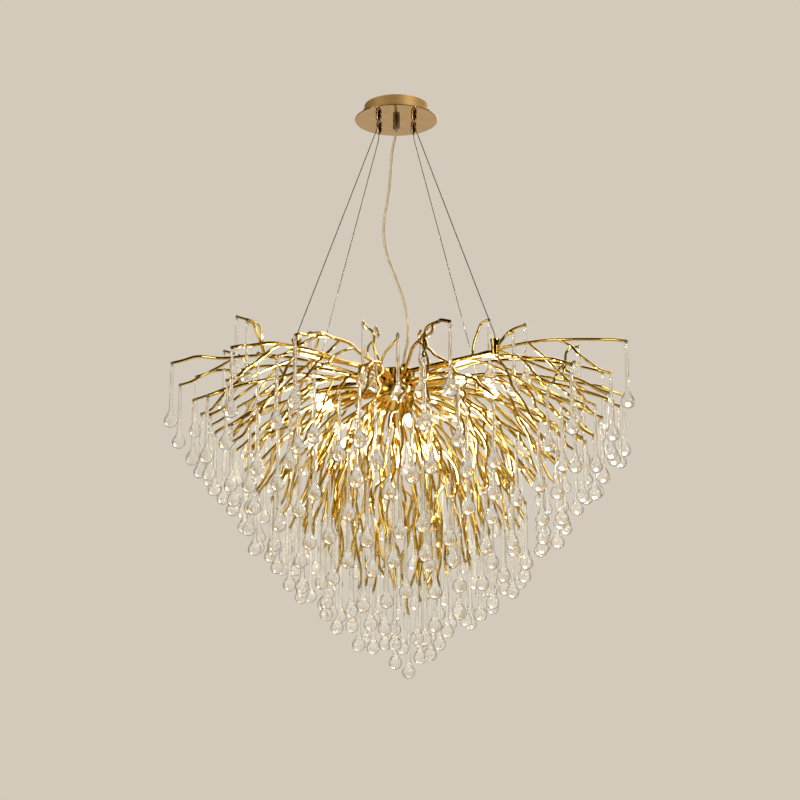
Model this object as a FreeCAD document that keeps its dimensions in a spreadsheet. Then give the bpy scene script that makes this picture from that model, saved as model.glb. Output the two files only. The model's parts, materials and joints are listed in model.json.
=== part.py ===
"""Branch chandelier with glass drops, hung on four steel cables from a ceiling canopy.

Millimetres. The origin lies on the ceiling at the middle of the canopy, +Z is up and
everything hangs below it. +X is the viewer's right, and the viewer looks along +Y.
"""
import FreeCAD, Part
import Sketcher
import math
import os
import random
from types import SimpleNamespace

Vector = FreeCAD.Vector
UP = Vector(0, 0, 1)

SIZES = {
    # ceiling crossbar and its screws
    "crossbar_length": 132,
    "crossbar_width": 24,
    "crossbar_thickness": 2,
    "flange_height": 16,
    "slot_width": 5,
    "slot_length": 14,
    "slot_spacing": 60,
    "edge_chamfer": 1,
    "side_screw_diameter": 4,
    "screw_head_diameter": 7.5,
    # canopy
    "pan_diameter": 140,
    "pan_height": 30,
    "pan_wall": 1.2,
    "plate_diameter": 180,
    "plate_thickness": 2,
    "plate_edge_round": 0.8,
    "block_length": 34,
    "block_width": 18,
    "block_height": 11,
    # cable grippers
    "gripper_spacing": 76,
    "barrel_diameter": 13,
    "barrel_neck_diameter": 10,
    "barrel_nose_diameter": 10.6,
    "barrel_length": 12,
    "thread_diameter": 8,
    "thread_length": 12,
    "nut_flats": 13,
    "nut_thickness": 5,
    "lip_thickness": 2,
    "nose_diameter": 6.5,
    "nose_reach": 5,
    "collar_diameter": 8.4,
    "collar_height": 3,
    "plunger_travel": 3,
    "cable_diameter": 2,
    "cable_lead": 7,
    # power cord and its grip
    "cord_diameter": 6,
    "grip_diameter": 15,
    "grip_length": 19,
    "grip_thread_diameter": 10,
    "grip_nut_flats": 14,
    # hub
    "hub_drop": 630,
    "ball_diameter": 92,
    "cap_diameter": 78,
    "cap_thickness": 18,
    "cap_seat_height": 28,
    "cap_edge_round": 3.5,
    "cord_seat_height": 3,
    "bolt_diameter": 8,
    "bolt_depth": 26,
    "gland_diameter": 14,
    "gland_height": 12,
    "gland_offset": 16,
    "socket_depth": 7,
    # suspension
    "post_x": 190,
    "post_y": 250,
    "post_diameter": 15,
    "post_flare_diameter": 19,
    "post_height": 31,
    "post_foot_wall": 1.2,
    "arm_seat_depth": 10.5,
    "arm_diameter": 10,
    "stop_diameter": 6,
    "stop_length": 7,
    # branches
    "limb_count": 64,
    "tier_count": 8,
    "spread_radius": 468,
    "spread_shift": 18,
    "rim_radius": 486,
    "rim_tip_drop": 603,
    "lowest_tip_drop": 1085,
    "cone_belly": 58,
    "limb_bulge": 0.09,
    "limb_wave": 8,
    "twig_wave": 6.5,
    "limb_diameter": 6.4,
    "twig_diameter": 5.3,
    "tip_spacing": 47,
    "crest_rise": 48,
    "tab_diameter": 6.6,
    "tab_thickness": 2,
    "tab_hole_diameter": 2.4,
    # rings and glass drops
    "ring_diameter": 8.4,
    "ring_wire": 0.8,
    "drop_length": 123,
    "drop_ball_diameter": 27,
    "drop_neck_radius": 30,
    "drop_stem_diameter": 7.4,
    "drop_top_diameter": 6,
    "bead_diameter": 8.4,
    "bead_thickness": 3.2,
    "bead_hole_diameter": 2.4,
    # lamps
    "lamp_tube_diameter": 8,
    "holder_diameter": 18,
    "holder_length": 22,
    "holder_wall": 1.3,
    "holder_seat": 5,
    "lamp_diameter": 15,
    "lamp_length": 42,
    "lamp_seat_depth": 12,
    # fits
    "screw_clearance": 0.2,
    "running_clearance": 0.08,
    "seat_gap": 0.3,
    "socket_clearance": 0.1,
}


class Length:
    """A length in millimetres, together with the sheet formula that gives it."""

    def __init__(self, value, formula=None):
        self.value = float(value)
        self.formula = formula or repr(float(value))

    def _joined(self, sign, other, value):
        return Length(value, f"({self.formula} {sign} {other.formula})")

    def __add__(self, other):
        other = as_length(other)
        return self._joined("+", other, self.value + other.value)

    def __sub__(self, other):
        other = as_length(other)
        return self._joined("-", other, self.value - other.value)

    def __mul__(self, other):
        other = as_length(other)
        return self._joined("*", other, self.value * other.value)

    def __truediv__(self, other):
        other = as_length(other)
        return self._joined("/", other, self.value / other.value)

    def __neg__(self):
        return Length(-self.value, f"(-{self.formula})")


def as_length(value):
    return value if isinstance(value, Length) else Length(value)


ZERO = Length(0)

document = FreeCAD.newDocument("chandelier")
sheet = document.addObject("Spreadsheet::Sheet", "Sizes")
for row, (alias, value) in enumerate(SIZES.items(), start=1):
    sheet.set(f"A{row}", alias)
    sheet.set(f"B{row}", str(value))
    sheet.setAlias(f"B{row}", alias)
document.recompute()

# mm holds plain numbers, bound holds lengths that carry their sheet formula
mm = SimpleNamespace(**{alias: float(sheet.get(alias)) for alias in SIZES})
bound = SimpleNamespace(**{alias: Length(sheet.get(alias), f"Sizes.{alias}") for alias in SIZES})

parts = []


# ---------------------------------------------------------------- bodies and sketches


def new_body(name):
    body = document.addObject("PartDesign::Body", name)
    body.Label = name
    parts.append(body)
    return body


def new_sketch(body, name, role):
    sketch = body.newObject("Sketcher::SketchObject", name)
    plane = next(feature for feature in body.Origin.OriginFeatures if feature.Role == role)
    sketch.AttachmentSupport = (plane, [""])
    sketch.MapMode = "FlatFace"
    return sketch


def pin(sketch, geometry, point, x, y):
    """Ties one point of a sketch to the origin by its two bound coordinates."""
    for kind, length in (("DistanceX", x), ("DistanceY", y)):
        constraint = Sketcher.Constraint(kind, -1, 1, geometry, point, length.value)
        number = sketch.addConstraint(constraint)
        sketch.setExpression(f"Constraints[{number}]", length.formula)


def outline(body, name, role, corners):
    """A closed straight-sided sketch through the given corners."""
    sketch = new_sketch(body, name, role)
    count = len(corners)
    points = [Vector(x.value, y.value, 0) for x, y in corners]
    for k in range(count):
        sketch.addGeometry(Part.LineSegment(points[k], points[(k + 1) % count]), False)
    for k in range(count):
        sketch.addConstraint(Sketcher.Constraint("Coincident", k, 2, (k + 1) % count, 1))
    for k, (x, y) in enumerate(corners):
        pin(sketch, k, 1, x, y)
    return sketch


def circles(body, name, role, rounds):
    """A sketch of circles, each given as x, y and diameter."""
    sketch = new_sketch(body, name, role)
    for k, (x, y, diameter) in enumerate(rounds):
        sketch.addGeometry(Part.Circle(Vector(x.value, y.value, 0), UP, diameter.value / 2), False)
        pin(sketch, k, 3, x, y)
        number = sketch.addConstraint(Sketcher.Constraint("Diameter", k, diameter.value))
        sketch.setExpression(f"Constraints[{number}]", diameter.formula)
    return sketch


def box_corners(x0, x1, y0, y1):
    return [(x0, y0), (x1, y0), (x1, y1), (x0, y1)]


def pad(body, name, sketch, length, both_ways=False):
    feature = body.newObject("PartDesign::Pad", name)
    feature.Profile = sketch
    feature.SideType = "Symmetric" if both_ways else "One side"
    feature.setExpression("Length", length.formula)
    document.recompute()
    return feature


def cut_through(body, name, sketch):
    """Cuts a sketch right through the body, both ways from its plane."""
    before = body.Shape.Volume
    feature = body.newObject("PartDesign::Pocket", name)
    feature.Profile = sketch
    feature.Type = "ThroughAll"
    feature.SideType = "Symmetric"
    document.recompute()
    if body.Shape.Volume >= before:
        raise ValueError(f"{name} cuts nothing from {body.Label}")
    return feature


def turn(body, name, corners):
    """Revolves an outline given as (radius, height) corners about the body's Z axis."""
    sketch = outline(body, f"{name}_profile", "XZ_Plane", corners)
    feature = body.newObject("PartDesign::Revolution", name)
    feature.Profile = sketch
    feature.ReferenceAxis = (sketch, ["V_Axis"])
    feature.Angle = 360
    document.recompute()
    return feature


def place_at_height(body, height):
    body.setExpression("Placement.Base.z", height.formula)


def group(name, solids):
    """One named node that holds separate solids."""
    feature = document.addObject("Part::Feature", name)
    feature.Label = name
    shape = solids[0] if len(solids) == 1 else Part.makeCompound(solids)
    feature.Shape = shape
    feature.Placement = shape.Placement
    parts.append(feature)
    return feature


# ---------------------------------------------------------------- shapes made from numbers


def turned(corners):
    """A solid turned about Z from (radius, height) corners."""
    points = [Vector(radius, 0, height) for radius, height in corners]
    return Part.Face(Part.makePolygon(points + points[:1])).revolve(Vector(), UP, 360)


def aimed(shape, place, direction):
    """Moves a shape from the origin to a place and turns its +Z to a direction."""
    copy = shape.copy()
    copy.Placement = FreeCAD.Placement(place, FreeCAD.Rotation(UP, direction))
    return copy


def hexagon(flats, thickness):
    corners = []
    for k in range(7):
        angle = math.radians(60 * k)
        reach = flats / math.sqrt(3)
        corners.append(Vector(reach * math.cos(angle), reach * math.sin(angle), 0))
    return Part.Face(Part.makePolygon(corners)).extrude(Vector(0, 0, thickness))


def bend(before, corner, after):
    """The arc that rounds a corner over 0.45 of the shorter run: its ends, middle and radius."""
    back = before - corner
    ahead = after - corner
    reach = 0.45 * min(back.Length, ahead.Length)
    half_turn = (math.pi - back.getAngle(ahead)) / 2
    radius = reach / math.tan(half_turn)
    back.normalize()
    ahead.normalize()
    inward = (back + ahead).normalize()
    middle = corner + inward * (math.hypot(reach, radius) - radius)
    return corner + back * reach, middle, corner + ahead * reach, radius


def route_wire(points):
    """Straight runs joined by tangent arcs."""
    edges = []
    start = points[0]
    for before, corner, after in zip(points, points[1:], points[2:]):
        first, middle, last, _ = bend(before, corner, after)
        edges.append(Part.LineSegment(start, first).toShape())
        edges.append(Part.Arc(first, middle, last).toShape())
        start = last
    edges.append(Part.LineSegment(start, points[-1]).toShape())
    return Part.Wire(edges)


def rod(points, diameter):
    """A round rod or tube of full section along a route."""
    section = Part.Circle(points[0], points[1] - points[0], diameter / 2).toShape()
    if len(points) == 2:
        direction = points[1] - points[0]
        return aimed(Part.makeCylinder(diameter / 2, direction.Length), points[0], direction)
    return route_wire(points).makePipeShell([Part.Wire(section)], True, False)


def say_route(name, points, diameter):
    """Prints a route's length and bend radii, and compares the swept volume with them."""
    wire = route_wire(points)
    solid = rod(points, diameter)
    radii = [bend(*three)[3] for three in zip(points, points[1:], points[2:])]
    share = solid.Volume / (math.pi * diameter**2 / 4 * wire.Length)
    print(f"{name}: {wire.Length:.0f} mm long, volume {share:.4f} of section times length")
    print("  radii " + ", ".join(f"{radius:.0f}" for radius in radii))


# ---------------------------------------------------------------- shared places

hub_centre = Vector(0, 0, -mm.hub_drop)
canopy_bottom = mm.pan_height + mm.plate_thickness
cap_bottom = mm.hub_drop - mm.cap_seat_height
cap_top = cap_bottom - mm.cap_thickness
arm_drop = cap_bottom - mm.cap_thickness / 2
post_foot_drop = arm_drop + mm.arm_diameter / 2 + mm.post_foot_wall
post_top_drop = post_foot_drop - mm.post_height
gripper_places = [
    Vector(x * mm.gripper_spacing / 2, y * mm.gripper_spacing / 2, 0)
    for x, y in ((-1, -1), (1, -1), (1, 1), (-1, 1))
]
post_places = [
    Vector(x * mm.post_x, y * mm.post_y, 0) for x, y in ((-1, -1), (1, -1), (1, 1), (-1, 1))
]


def corner_rounds(spacing, diameter):
    """Four circles on a square pattern, bound to the sheet."""
    half = spacing / 2
    return [(x, y, diameter) for x in (-half, half) for y in (-half, half)]


# ---------------------------------------------------------------- canopy


def make_ceiling_crossbar():
    body = new_body("ceiling_crossbar")
    half = bound.crossbar_length / 2
    inner = half - bound.crossbar_thickness
    top = -bound.crossbar_thickness
    foot = -bound.flange_height
    corners = [
        (-half, ZERO), (half, ZERO), (half, foot), (inner, foot),
        (inner, top), (-inner, top), (-inner, foot), (-half, foot),
    ]
    strip = outline(body, "crossbar_section", "XZ_Plane", corners)
    pad(body, "crossbar_strip", strip, bound.crossbar_width, both_ways=True)
    straight = (bound.slot_length - bound.slot_width) / 2
    for side, centre in (("left", -bound.slot_spacing / 2), ("right", bound.slot_spacing / 2)):
        low, high = centre - straight, centre + straight
        half_width = bound.slot_width / 2
        middle = outline(body, f"{side}_slot", "XY_Plane", box_corners(low, high, -half_width, half_width))
        cut_through(body, f"{side}_slot_cut", middle)
        ends = circles(body, f"{side}_slot_end", "XY_Plane", [
            (low, ZERO, bound.slot_width), (high, ZERO, bound.slot_width)])
        cut_through(body, f"{side}_slot_ends_cut", ends)
    across = circles(body, "side_screw_hole", "YZ_Plane", [
        (ZERO, -bound.flange_height / 2, bound.side_screw_diameter + bound.screw_clearance * 2)])
    cut_through(body, "side_screw_holes_cut", across)


def make_canopy_pan():
    body = new_body("canopy_pan")
    outer = bound.pan_diameter / 2
    inner = outer - bound.pan_wall
    bottom = -bound.pan_height
    floor = bottom + bound.pan_wall
    turn(body, "pan_shell", [
        (ZERO, bottom), (outer, bottom), (outer, ZERO), (inner, ZERO), (inner, floor), (ZERO, floor)])
    cut_gripper_holes(body)
    across = circles(body, "screw_hole", "YZ_Plane", [
        (ZERO, -bound.flange_height / 2, bound.side_screw_diameter + bound.screw_clearance * 2)])
    cut_through(body, "screw_holes_cut", across)


def make_canopy_plate():
    body = new_body("canopy_plate")
    disc = circles(body, "plate_edge", "XY_Plane", [(ZERO, ZERO, bound.plate_diameter)])
    pad(body, "plate_disc", disc, bound.plate_thickness)
    cut_gripper_holes(body)
    drilled = body.Tip
    edges = [
        f"Edge{number}"
        for number, edge in enumerate(drilled.Shape.Edges, start=1)
        if edge.Length > mm.plate_diameter * 3
    ]
    rounding = body.newObject("PartDesign::Fillet", "plate_rounding")
    rounding.Base = (drilled, edges)
    rounding.setExpression("Radius", bound.plate_edge_round.formula)
    place_at_height(body, -(bound.pan_height + bound.plate_thickness))


def cut_gripper_holes(body):
    """The four gripper holes and the cord grip's hole, alike in the pan and in the plate."""
    hole = bound.thread_diameter + bound.screw_clearance * 2
    rounds = corner_rounds(bound.gripper_spacing, hole)
    rounds.append((ZERO, ZERO, bound.grip_thread_diameter + bound.screw_clearance * 2))
    cut_through(body, "gripper_holes_cut", circles(body, "gripper_holes", "XY_Plane", rounds))


def make_pan_screws():
    """Round-headed screws from the pan's side into the crossbar's flanges."""
    wall = mm.pan_diameter / 2
    tip = mm.crossbar_length / 2 - mm.crossbar_thickness - 2
    shank = mm.side_screw_diameter / 2
    head = mm.screw_head_diameter / 2
    thick = head / 2
    sag = mm.screw_clearance / 2
    screw = turned([
        (0, tip), (shank, tip), (shank, wall + sag), (head, wall + sag),
        (head, wall + sag + thick / 2), (head * 0.7, wall + sag + thick), (0, wall + sag + thick)])
    place = Vector(0, 0, -mm.flange_height / 2)
    group("pan_screws", [aimed(screw, place, Vector(side, 0, 0)) for side in (-1, 1)])


def make_terminal_block():
    body = new_body("terminal_block")
    half_length, half_width = bound.block_length / 2, bound.block_width / 2
    base = outline(body, "block_base", "XY_Plane",
                   box_corners(-half_length, half_length, -half_width, half_width))
    pad(body, "block", base, bound.block_height)
    pitch = bound.block_length / 3
    bores = circles(body, "wire_bore", "XZ_Plane", [
        (x, bound.block_height / 3, bound.block_height / 3) for x in (-pitch, ZERO, pitch)])
    cut_through(body, "wire_bores_cut", bores)
    place_at_height(body, -(bound.crossbar_thickness + bound.block_height))


def gripper_levels():
    """Heights of the barrel's chamber, below the ceiling."""
    mouth = canopy_bottom + mm.barrel_length
    lip = mouth - mm.lip_thickness
    chamber_top = lip - mm.seat_gap * 2 - mm.collar_height - mm.plunger_travel
    return mouth, lip, chamber_top


def make_gripper_bodies():
    mouth, lip, chamber_top = gripper_levels()
    barrel = mm.barrel_diameter / 2
    neck = mm.barrel_neck_diameter / 2
    nose = mm.barrel_nose_diameter / 2
    thread = mm.thread_diameter / 2
    nose_hole = mm.nose_diameter / 2 + mm.running_clearance
    chamber = mm.collar_diameter / 2 + mm.running_clearance
    bore = mm.cable_diameter
    thread_top = canopy_bottom - mm.thread_length
    chamfer = mm.edge_chamfer
    shape = turned([
        (nose_hole, -mouth), (nose, -mouth), (barrel, mm.barrel_length * 0.4 - mouth),
        (barrel, chamfer * 3 - canopy_bottom - mm.barrel_length / 2), (neck, -chamfer * 2 - canopy_bottom),
        (neck, -canopy_bottom), (thread, -canopy_bottom), (thread, -thread_top),
        (bore, -thread_top), (bore, -chamber_top), (chamber, -chamber_top), (chamber, -lip),
        (nose_hole, -lip)])
    group("gripper_bodies", [aimed(shape, place, UP) for place in gripper_places])


def make_gripper_nuts():
    bore = Part.makeCylinder(mm.thread_diameter / 2 + mm.socket_clearance, mm.nut_thickness)
    nut = hexagon(mm.nut_flats, mm.nut_thickness).cut(bore)
    height = Vector(0, 0, mm.pan_wall - mm.pan_height)
    group("gripper_nuts", [aimed(nut, place + height, UP) for place in gripper_places])


def make_gripper_plungers():
    mouth, lip, _ = gripper_levels()
    collar_foot = lip - mm.seat_gap
    nose = mm.nose_diameter / 2
    collar = mm.collar_diameter / 2
    bore = mm.cable_diameter / 2 + mm.seat_gap * 2
    tip = mouth + mm.nose_reach
    chamfer = mm.edge_chamfer
    shape = turned([
        (bore, -tip), (nose - chamfer, -tip), (nose, chamfer - tip), (nose, -collar_foot),
        (collar, -collar_foot), (collar, mm.collar_height - collar_foot),
        (bore, mm.collar_height - collar_foot)])
    for number, place in enumerate(gripper_places, start=1):
        group(f"gripper_plunger_{number}", [aimed(shape, place, UP)])


def make_cord_grip():
    body = new_body("cord_grip")
    outer = bound.grip_diameter / 2
    thread = bound.grip_thread_diameter / 2
    bore = bound.cord_diameter / 2 + bound.seat_gap
    mouth = -bound.grip_length
    chamfer = bound.edge_chamfer
    thread_top = bound.plate_thickness + bound.pan_wall + bound.nut_thickness + bound.lip_thickness
    turn(body, "grip_barrel", [
        (bore, mouth), (outer - chamfer, mouth), (outer, mouth + chamfer), (outer, ZERO),
        (thread, ZERO), (thread, thread_top), (bore, thread_top)])
    place_at_height(body, -(bound.pan_height + bound.plate_thickness))


def make_cord_grip_nut():
    body = new_body("cord_grip_nut")
    reach = bound.grip_nut_flats / math.sqrt(3)
    corners = []
    for k in range(6):
        angle = math.radians(60 * k)
        corners.append((reach * round(math.cos(angle), 9), reach * round(math.sin(angle), 9)))
    pad(body, "nut", outline(body, "nut_flats", "XY_Plane", corners), bound.nut_thickness)
    thread = bound.grip_thread_diameter + bound.socket_clearance * 2
    cut_through(body, "nut_bore_cut", circles(body, "nut_bore", "XY_Plane", [(ZERO, ZERO, thread)]))
    place_at_height(body, bound.pan_wall - bound.pan_height)


# ---------------------------------------------------------------- cables and cord


def cable_route(gripper, post):
    """Straight down through the plunger, tight to the post, and straight down into its stop."""
    mouth, _, _ = gripper_levels()
    tip = mouth + mm.nose_reach
    start = gripper - UP * (canopy_bottom + mm.nose_reach)
    below = gripper - UP * (tip + mm.cable_lead)
    above = post - UP * (post_top_drop - mm.cable_lead)
    end = post - UP * (post_top_drop + mm.seat_gap)
    return [start, below, above, end]


def make_suspension_cables():
    for number, (gripper, post) in enumerate(zip(gripper_places, post_places), start=1):
        points = cable_route(gripper, post)
        group(f"suspension_cable_{number}", [rod(points, mm.cable_diameter)])
        if number == 1:
            say_route("suspension cable", points, mm.cable_diameter)


def cord_route():
    """Hangs from its grip in slack bends and goes into the gland on the hub's cap."""
    gland = Vector(mm.gland_offset, 0, mm.gland_height - cap_top)
    hanging = [
        Vector(0, 0, -34), Vector(0, 0, -62), Vector(-9, -1, -98), Vector(-12, -4, -148),
        Vector(-16, -2, -200), Vector(-25, -1, -247), Vector(-28, 1, -290), Vector(-19, 3, -340),
        Vector(1, 3, -388), Vector(17, 1, -434), Vector(26, -1, -484), Vector(25, -1, -526)]
    return [*hanging, gland + UP * 14, gland - UP * (mm.gland_height / 2)]


def make_power_cord():
    points = cord_route()
    group("power_cord", [rod(points, mm.cord_diameter)])
    say_route("power cord", points, mm.cord_diameter)


# ---------------------------------------------------------------- branches

GOLDEN_ANGLE = math.pi * (3 - math.sqrt(5))
# twigs that rise above the rim, by the limb that carries them: the limb's run that each
# leaves, and how far its tip lies to the left, above and ahead of the middle of that run
CROWN_TWIGS = {
    44: [(1, -25, 80, 50)],
    46: [(3, -34, 50, 50), (2, 28, 80, 20)],
    47: [(4, 31, 50, 50)],
    49: [(2, -34, 80, 20), (2, 34, 50, 50)],
    51: [(4, 28, 35, 50)],
    52: [(3, 34, 50, 20), (2, 28, 80, 20)],
    55: [(4, 25, 80, 50)],
    59: [(3, 30, 65, 50), (3, -36, 84, 50)],
    60: [(2, 30, 50, 50)],
    62: [(1, 28, 57, 20)],
}
# how far along a limb each of its three side twigs leaves it, as its run's number
TWIG_RUNS = (2, 3, 4)
LIMB_STATIONS = (0.24, 0.40, 0.54, 0.67, 0.79, 0.90)
# limbs that pass close by a main arm, and how far aside and up they bend to clear it
ARM_PASSES = {54: (-7, 0), 58: (14, 8)}


def polar(angle):
    return Vector(math.cos(angle), math.sin(angle), 0)


def tip_height(radius):
    """The tips lie on a wide cone that points down, hollowed by its belly value midway."""
    share = radius / mm.rim_radius
    rise = (mm.lowest_tip_drop - mm.rim_tip_drop) * share
    return rise - mm.lowest_tip_drop - 4 * mm.cone_belly * share * (1 - share)


def cell_tips(number, chance):
    """Four tips round one point of a sunflower pattern, the outermost of them first."""
    angle = number * GOLDEN_ANGLE
    reach = mm.spread_radius * math.sqrt((number + 0.5) / mm.limb_count)
    centre = polar(angle) * reach
    tips = []
    for quarter in range(4):
        aside = polar(angle + 0.35 + quarter * math.pi / 2) * (mm.tip_spacing / math.sqrt(2))
        stray = Vector(chance.uniform(-2.5, 2.5), chance.uniform(-2.5, 2.5), 0)
        place = centre + aside + stray
        place.z = tip_height(place.Length) + chance.uniform(-16, 16)
        place.x += mm.spread_shift
        tips.append(place)
    if number > mm.limb_count * 0.6 and number % 3 == 0:
        tips[0].z += mm.crest_rise * chance.uniform(0.5, 1.1)
    return tips


def outward_at(tip):
    return polar(math.atan2(tip.y, tip.x))


def approach(tip, lean):
    """The last run of a rod, which comes to the tip from inside and above."""
    heading = outward_at(tip) * math.cos(lean) + UP * math.sin(lean)
    end = tip - heading * (mm.tab_diameter / 4)
    return end - heading * 20, end


def limb_route(number, tip, chance):
    """A bowed and slightly kinked route from the hub's socket to a tip."""
    pass_aside, pass_above = ARM_PASSES.get(number, (0, 0))
    span = tip - hub_centre
    lean = math.asin(span.z / span.Length)
    outward = outward_at(tip)
    above = outward * -math.sin(lean) + UP * math.cos(lean)
    sideways = UP.cross(outward)
    straight = Vector(span).normalize()
    socket = mm.ball_diameter / 2 - mm.socket_depth
    first_bow = above * (4 * mm.limb_bulge * span.Length * (socket / span.Length))
    points = [hub_centre + straight * socket + first_bow]
    side = chance.choice((-1, 1))
    for station in LIMB_STATIONS:
        swell = 4 * station * (1 - station)
        bow = (mm.limb_bulge * span.Length + pass_above) * swell
        wave = mm.limb_wave * math.sqrt(station) * chance.uniform(0.6, 1.1) * side
        side = -side
        points.append(
            hub_centre + span * station + above * (bow + wave * chance.uniform(-0.6, 0.9))
            + sideways * (pass_aside * swell + wave))
    before, end = approach(tip, max(lean * 0.9 - 0.35, -1.35))
    return points + [before, end]


def twig_route(limb, run, tip, chance):
    """From the middle of one of the limb's runs to a tip, with two kinks."""
    start = (limb[run] + limb[run + 1]) / 2
    lean = math.asin((tip.z - hub_centre.z) / (tip - hub_centre).Length)
    before, end = approach(tip, max(lean * 0.9 - 0.3, -1.3))
    span = before - start
    sideways = UP.cross(outward_at(tip))
    route = [start]
    side = chance.choice((-1, 1))
    for share in (0.3, 0.55, 0.8):
        wave = mm.twig_wave * chance.uniform(0.6, 1.1) * side
        route.append(start + span * share + Vector(sideways) * wave + UP * chance.uniform(-3, 8))
        side = -side
    return route + [before, end]


def crown_tip(limb, run, left, rise, ahead):
    along = (limb[run + 1] - limb[run]).normalize()
    sideways = UP.cross(along).normalize()
    tip = (limb[run] + limb[run + 1]) / 2 + along * ahead + sideways * left
    tip.z = (limb[run].z + limb[run + 1].z) / 2 + rise
    return tip


def crown_route(limb, run, tip, chance):
    """Climbs from the middle of one of the limb's runs and bends out to its tip."""
    start = (limb[run] + limb[run + 1]) / 2
    before, end = approach(tip, 0.25)
    span = before - start
    sideways = UP.cross(outward_at(tip))
    low = start + span * 0.3 + UP * (span.z * 0.12) - sideways * chance.uniform(4, 9)
    high = start + span * 0.66 + UP * (span.z * 0.2) + sideways * chance.uniform(3, 8)
    return [start, low, high, before, end]


def tab_with_hole(tip):
    """The flattened and drilled end of a rod; its hole lies level, across the rod."""
    across = UP.cross(outward_at(tip))
    start = tip - across * (mm.tab_thickness / 2)
    return aimed(Part.makeCylinder(mm.tab_diameter / 2, mm.tab_thickness), start, across)


def tab_hole(tip):
    across = UP.cross(outward_at(tip))
    length = mm.limb_diameter * 2
    start = tip - across * (length / 2)
    return aimed(Part.makeCylinder(mm.tab_hole_diameter / 2, length), start, across)


class Limb:
    """One branch: the limb itself, its twigs, and the tips that they all end in."""

    def __init__(self, number):
        chance = random.Random(700 + number)
        self.number = number
        self.tips = cell_tips(number, chance)
        self.main = limb_route(number, self.tips[0], chance)
        self.twigs = [
            twig_route(self.main, run, tip, chance)
            for run, tip in zip(TWIG_RUNS, self.tips[1:])]
        for run, left, rise, ahead in CROWN_TWIGS.get(number, []):
            tip = crown_tip(self.main, run, left, rise, ahead)
            self.tips.append(tip)
            self.twigs.append(crown_route(self.main, run, tip, chance))

    def solid(self):
        rods = [rod(route, mm.twig_diameter) for route in self.twigs]
        tabs = [tab_with_hole(tip) for tip in self.tips]
        whole = rod(self.main, mm.limb_diameter).fuse(rods + tabs)
        drilled = whole.cut([tab_hole(tip) for tip in self.tips])
        if len(drilled.Solids) != 1:
            raise ValueError(f"limb {self.number} comes out in {len(drilled.Solids)} pieces")
        return drilled


limbs = [Limb(number) for number in range(int(mm.limb_count))]
limbs_per_tier = math.ceil(len(limbs) / mm.tier_count)
swinging_limbs = limbs[-8:]


def tier_of(limb):
    """Tier 1 is the rim, and the highest number hangs lowest, in the middle."""
    return int(mm.tier_count) - limb.number // limbs_per_tier


def tiers():
    return range(1, int(mm.tier_count) + 1)


def make_branches():
    for tier in tiers():
        solids = [limb.solid() for limb in limbs if tier_of(limb) == tier]
        group(f"branches_tier_{tier}", solids)


# ---------------------------------------------------------------- rings and drops


def ring_solid():
    """A ring of square wire that stands upright in the XZ plane, hung at its highest hole."""
    outer = (mm.ring_diameter + mm.ring_wire) / 2
    inner = (mm.ring_diameter - mm.ring_wire) / 2
    start = Vector(0, -mm.ring_wire / 2, -mm.ring_diameter / 2)
    along = Vector(0, 1, 0)
    disc = Part.makeCylinder(outer, mm.ring_wire, start, along)
    return disc.cut(Part.makeCylinder(inner, mm.ring_wire, start, along))


def drop_solid():
    """A glass drop about Z with the middle of its eye at the origin, the eye's hole along X."""
    ball = mm.drop_ball_diameter / 2
    stem = mm.drop_stem_diameter / 2
    top = mm.drop_top_diameter / 2
    neck = mm.drop_neck_radius
    centre = ball - mm.drop_length
    rise = math.sqrt((ball + neck) ** 2 - (stem + neck) ** 2)
    neck_centre = Vector(stem + neck, 0, centre + rise)
    ball_centre = Vector(0, 0, centre)
    meeting = ball_centre + (neck_centre - ball_centre) * (ball / (ball + neck))
    start = Vector(stem, 0, neck_centre.z)
    toward = ((start - neck_centre) + (meeting - neck_centre)).normalize()
    neck_arc = Part.Arc(start, neck_centre + toward * neck, meeting)
    ball_side = ball_centre + ((meeting - ball_centre) + Vector(1, 0, -1) * ball).normalize() * ball
    bottom = Vector(0, 0, -mm.drop_length)
    ball_arc = Part.Arc(meeting, ball_side, bottom)
    shoulder = Vector(top, 0, -mm.bead_diameter * 1.3)
    tip = Vector(mm.bead_thickness / 3, 0, -mm.bead_diameter / 3)
    head = Vector(0, 0, tip.z)
    edges = [
        Part.LineSegment(head, tip).toShape(),
        Part.LineSegment(tip, shoulder).toShape(),
        Part.LineSegment(shoulder, start).toShape(),
        neck_arc.toShape(),
        ball_arc.toShape(),
        Part.LineSegment(bottom, head).toShape(),
    ]
    body = Part.Face(Part.Wire(edges)).revolve(Vector(), UP, 360)
    across = Vector(1, 0, 0)
    side = Vector(-mm.bead_thickness / 2, 0, 0)
    bead = Part.makeCylinder(mm.bead_diameter / 2, mm.bead_thickness, side, across)
    reach = mm.drop_top_diameter
    hole = Part.makeCylinder(mm.bead_hole_diameter / 2, 2 * reach, Vector(-reach, 0, 0), across)
    return body.fuse(bead).cut(hole)


def hung_at(shape, tip, fall):
    """Hangs a shape a little below a tip, with its X axis along the tip's drilled hole."""
    turn_angle = math.degrees(math.atan2(tip.y, tip.x)) + 90
    copy = shape.copy()
    copy.Placement = FreeCAD.Placement(tip - UP * fall, FreeCAD.Rotation(UP, turn_angle))
    return copy


def swings(limb, tip):
    return limb in swinging_limbs and tip is limb.tips[0]


def make_rings():
    ring = ring_solid()
    for first in range(1, int(mm.tier_count) + 1, 2):
        both = (first, first + 1)
        tips = [tip for limb in limbs if tier_of(limb) in both for tip in limb.tips]
        group(f"rings_tiers_{first}_{first + 1}", [hung_at(ring, tip, 0) for tip in tips])


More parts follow.
